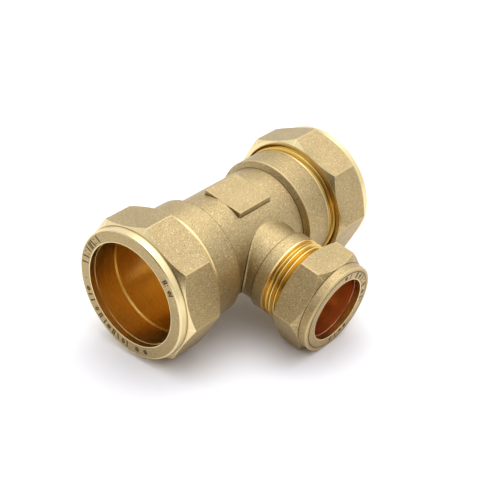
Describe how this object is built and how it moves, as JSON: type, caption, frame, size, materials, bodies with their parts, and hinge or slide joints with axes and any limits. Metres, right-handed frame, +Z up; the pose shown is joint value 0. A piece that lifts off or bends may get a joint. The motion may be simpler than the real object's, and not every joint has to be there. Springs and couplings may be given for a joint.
{
  "type": "compression tee fitting",
  "caption": "Brass compression reducing tee for plumbing tube: octagonal nuts on the run, a smaller hexagonal nut on the branch, with olives inside.",
  "frame": {"origin": "middle of the fitting's outline in plan, at the height of its lowest point", "axes": "+X along the run, +Y along the branch towards its nut, +Z up out of the marking pad"},
  "size_m": [0.0926, 0.07, 0.0484],
  "materials": {
    "forged_brass": "shot-blasted matt forging, threads and bores turned bright",
    "nut_brass": "shot-blasted matt forging, chamfers and collar turned satin",
    "olive_brass": "smooth drawn brass, satin",
    "olive_copper": null
  },
  "bodies": {
    "tee_body": {"tee_body": "forged_brass"},
    "right_run_olive": {"right_run_olive": "olive_brass"},
    "right_run_nut": {"right_run_nut": "nut_brass"},
    "left_run_olive": {"left_run_olive": "olive_brass"},
    "left_run_nut": {"left_run_nut": "nut_brass"},
    "branch_olive": {"branch_olive": "olive_copper"},
    "branch_nut": {"branch_nut": "nut_brass"}
  },
  "joints": [
    {"name": "right_run_olive_slide", "type": "slide", "parent": "tee_body", "child": "right_run_olive", "axis": [1, 0, 0], "range_m": [0, 0.00526]},
    {"name": "right_run_nut_turn", "type": "hinge", "parent": "right_run_olive", "child": "right_run_nut", "pos_m": [0.0463, -0.01085, 0.02419], "axis": [1, 0, 0], "range_deg": [0, 1260]},
    {"name": "left_run_olive_slide", "type": "slide", "parent": "tee_body", "child": "left_run_olive", "axis": [-1, 0, 0], "range_m": [0, 0.00526]},
    {"name": "left_run_nut_turn", "type": "hinge", "parent": "left_run_olive", "child": "left_run_nut", "pos_m": [-0.0463, -0.01085, 0.02419], "axis": [-1, 0, 0], "range_deg": [0, 1260]},
    {"name": "branch_olive_slide", "type": "slide", "parent": "tee_body", "child": "branch_olive", "axis": [0, 1, 0], "range_m": [0, 0.00364]},
    {"name": "branch_nut_turn", "type": "hinge", "parent": "branch_olive", "child": "branch_nut", "pos_m": [0, 0.03505, 0.02419], "axis": [0, 1, 0], "range_deg": [0, 720]}
  ],
  "couplings": [
    {"joint": "right_run_olive_slide", "follows": "right_run_nut_turn", "m_per_rad": 0.00023873},
    {"joint": "left_run_olive_slide", "follows": "left_run_nut_turn", "m_per_rad": 0.00023873},
    {"joint": "branch_olive_slide", "follows": "branch_nut_turn", "m_per_rad": 0.00028871}
  ]
}
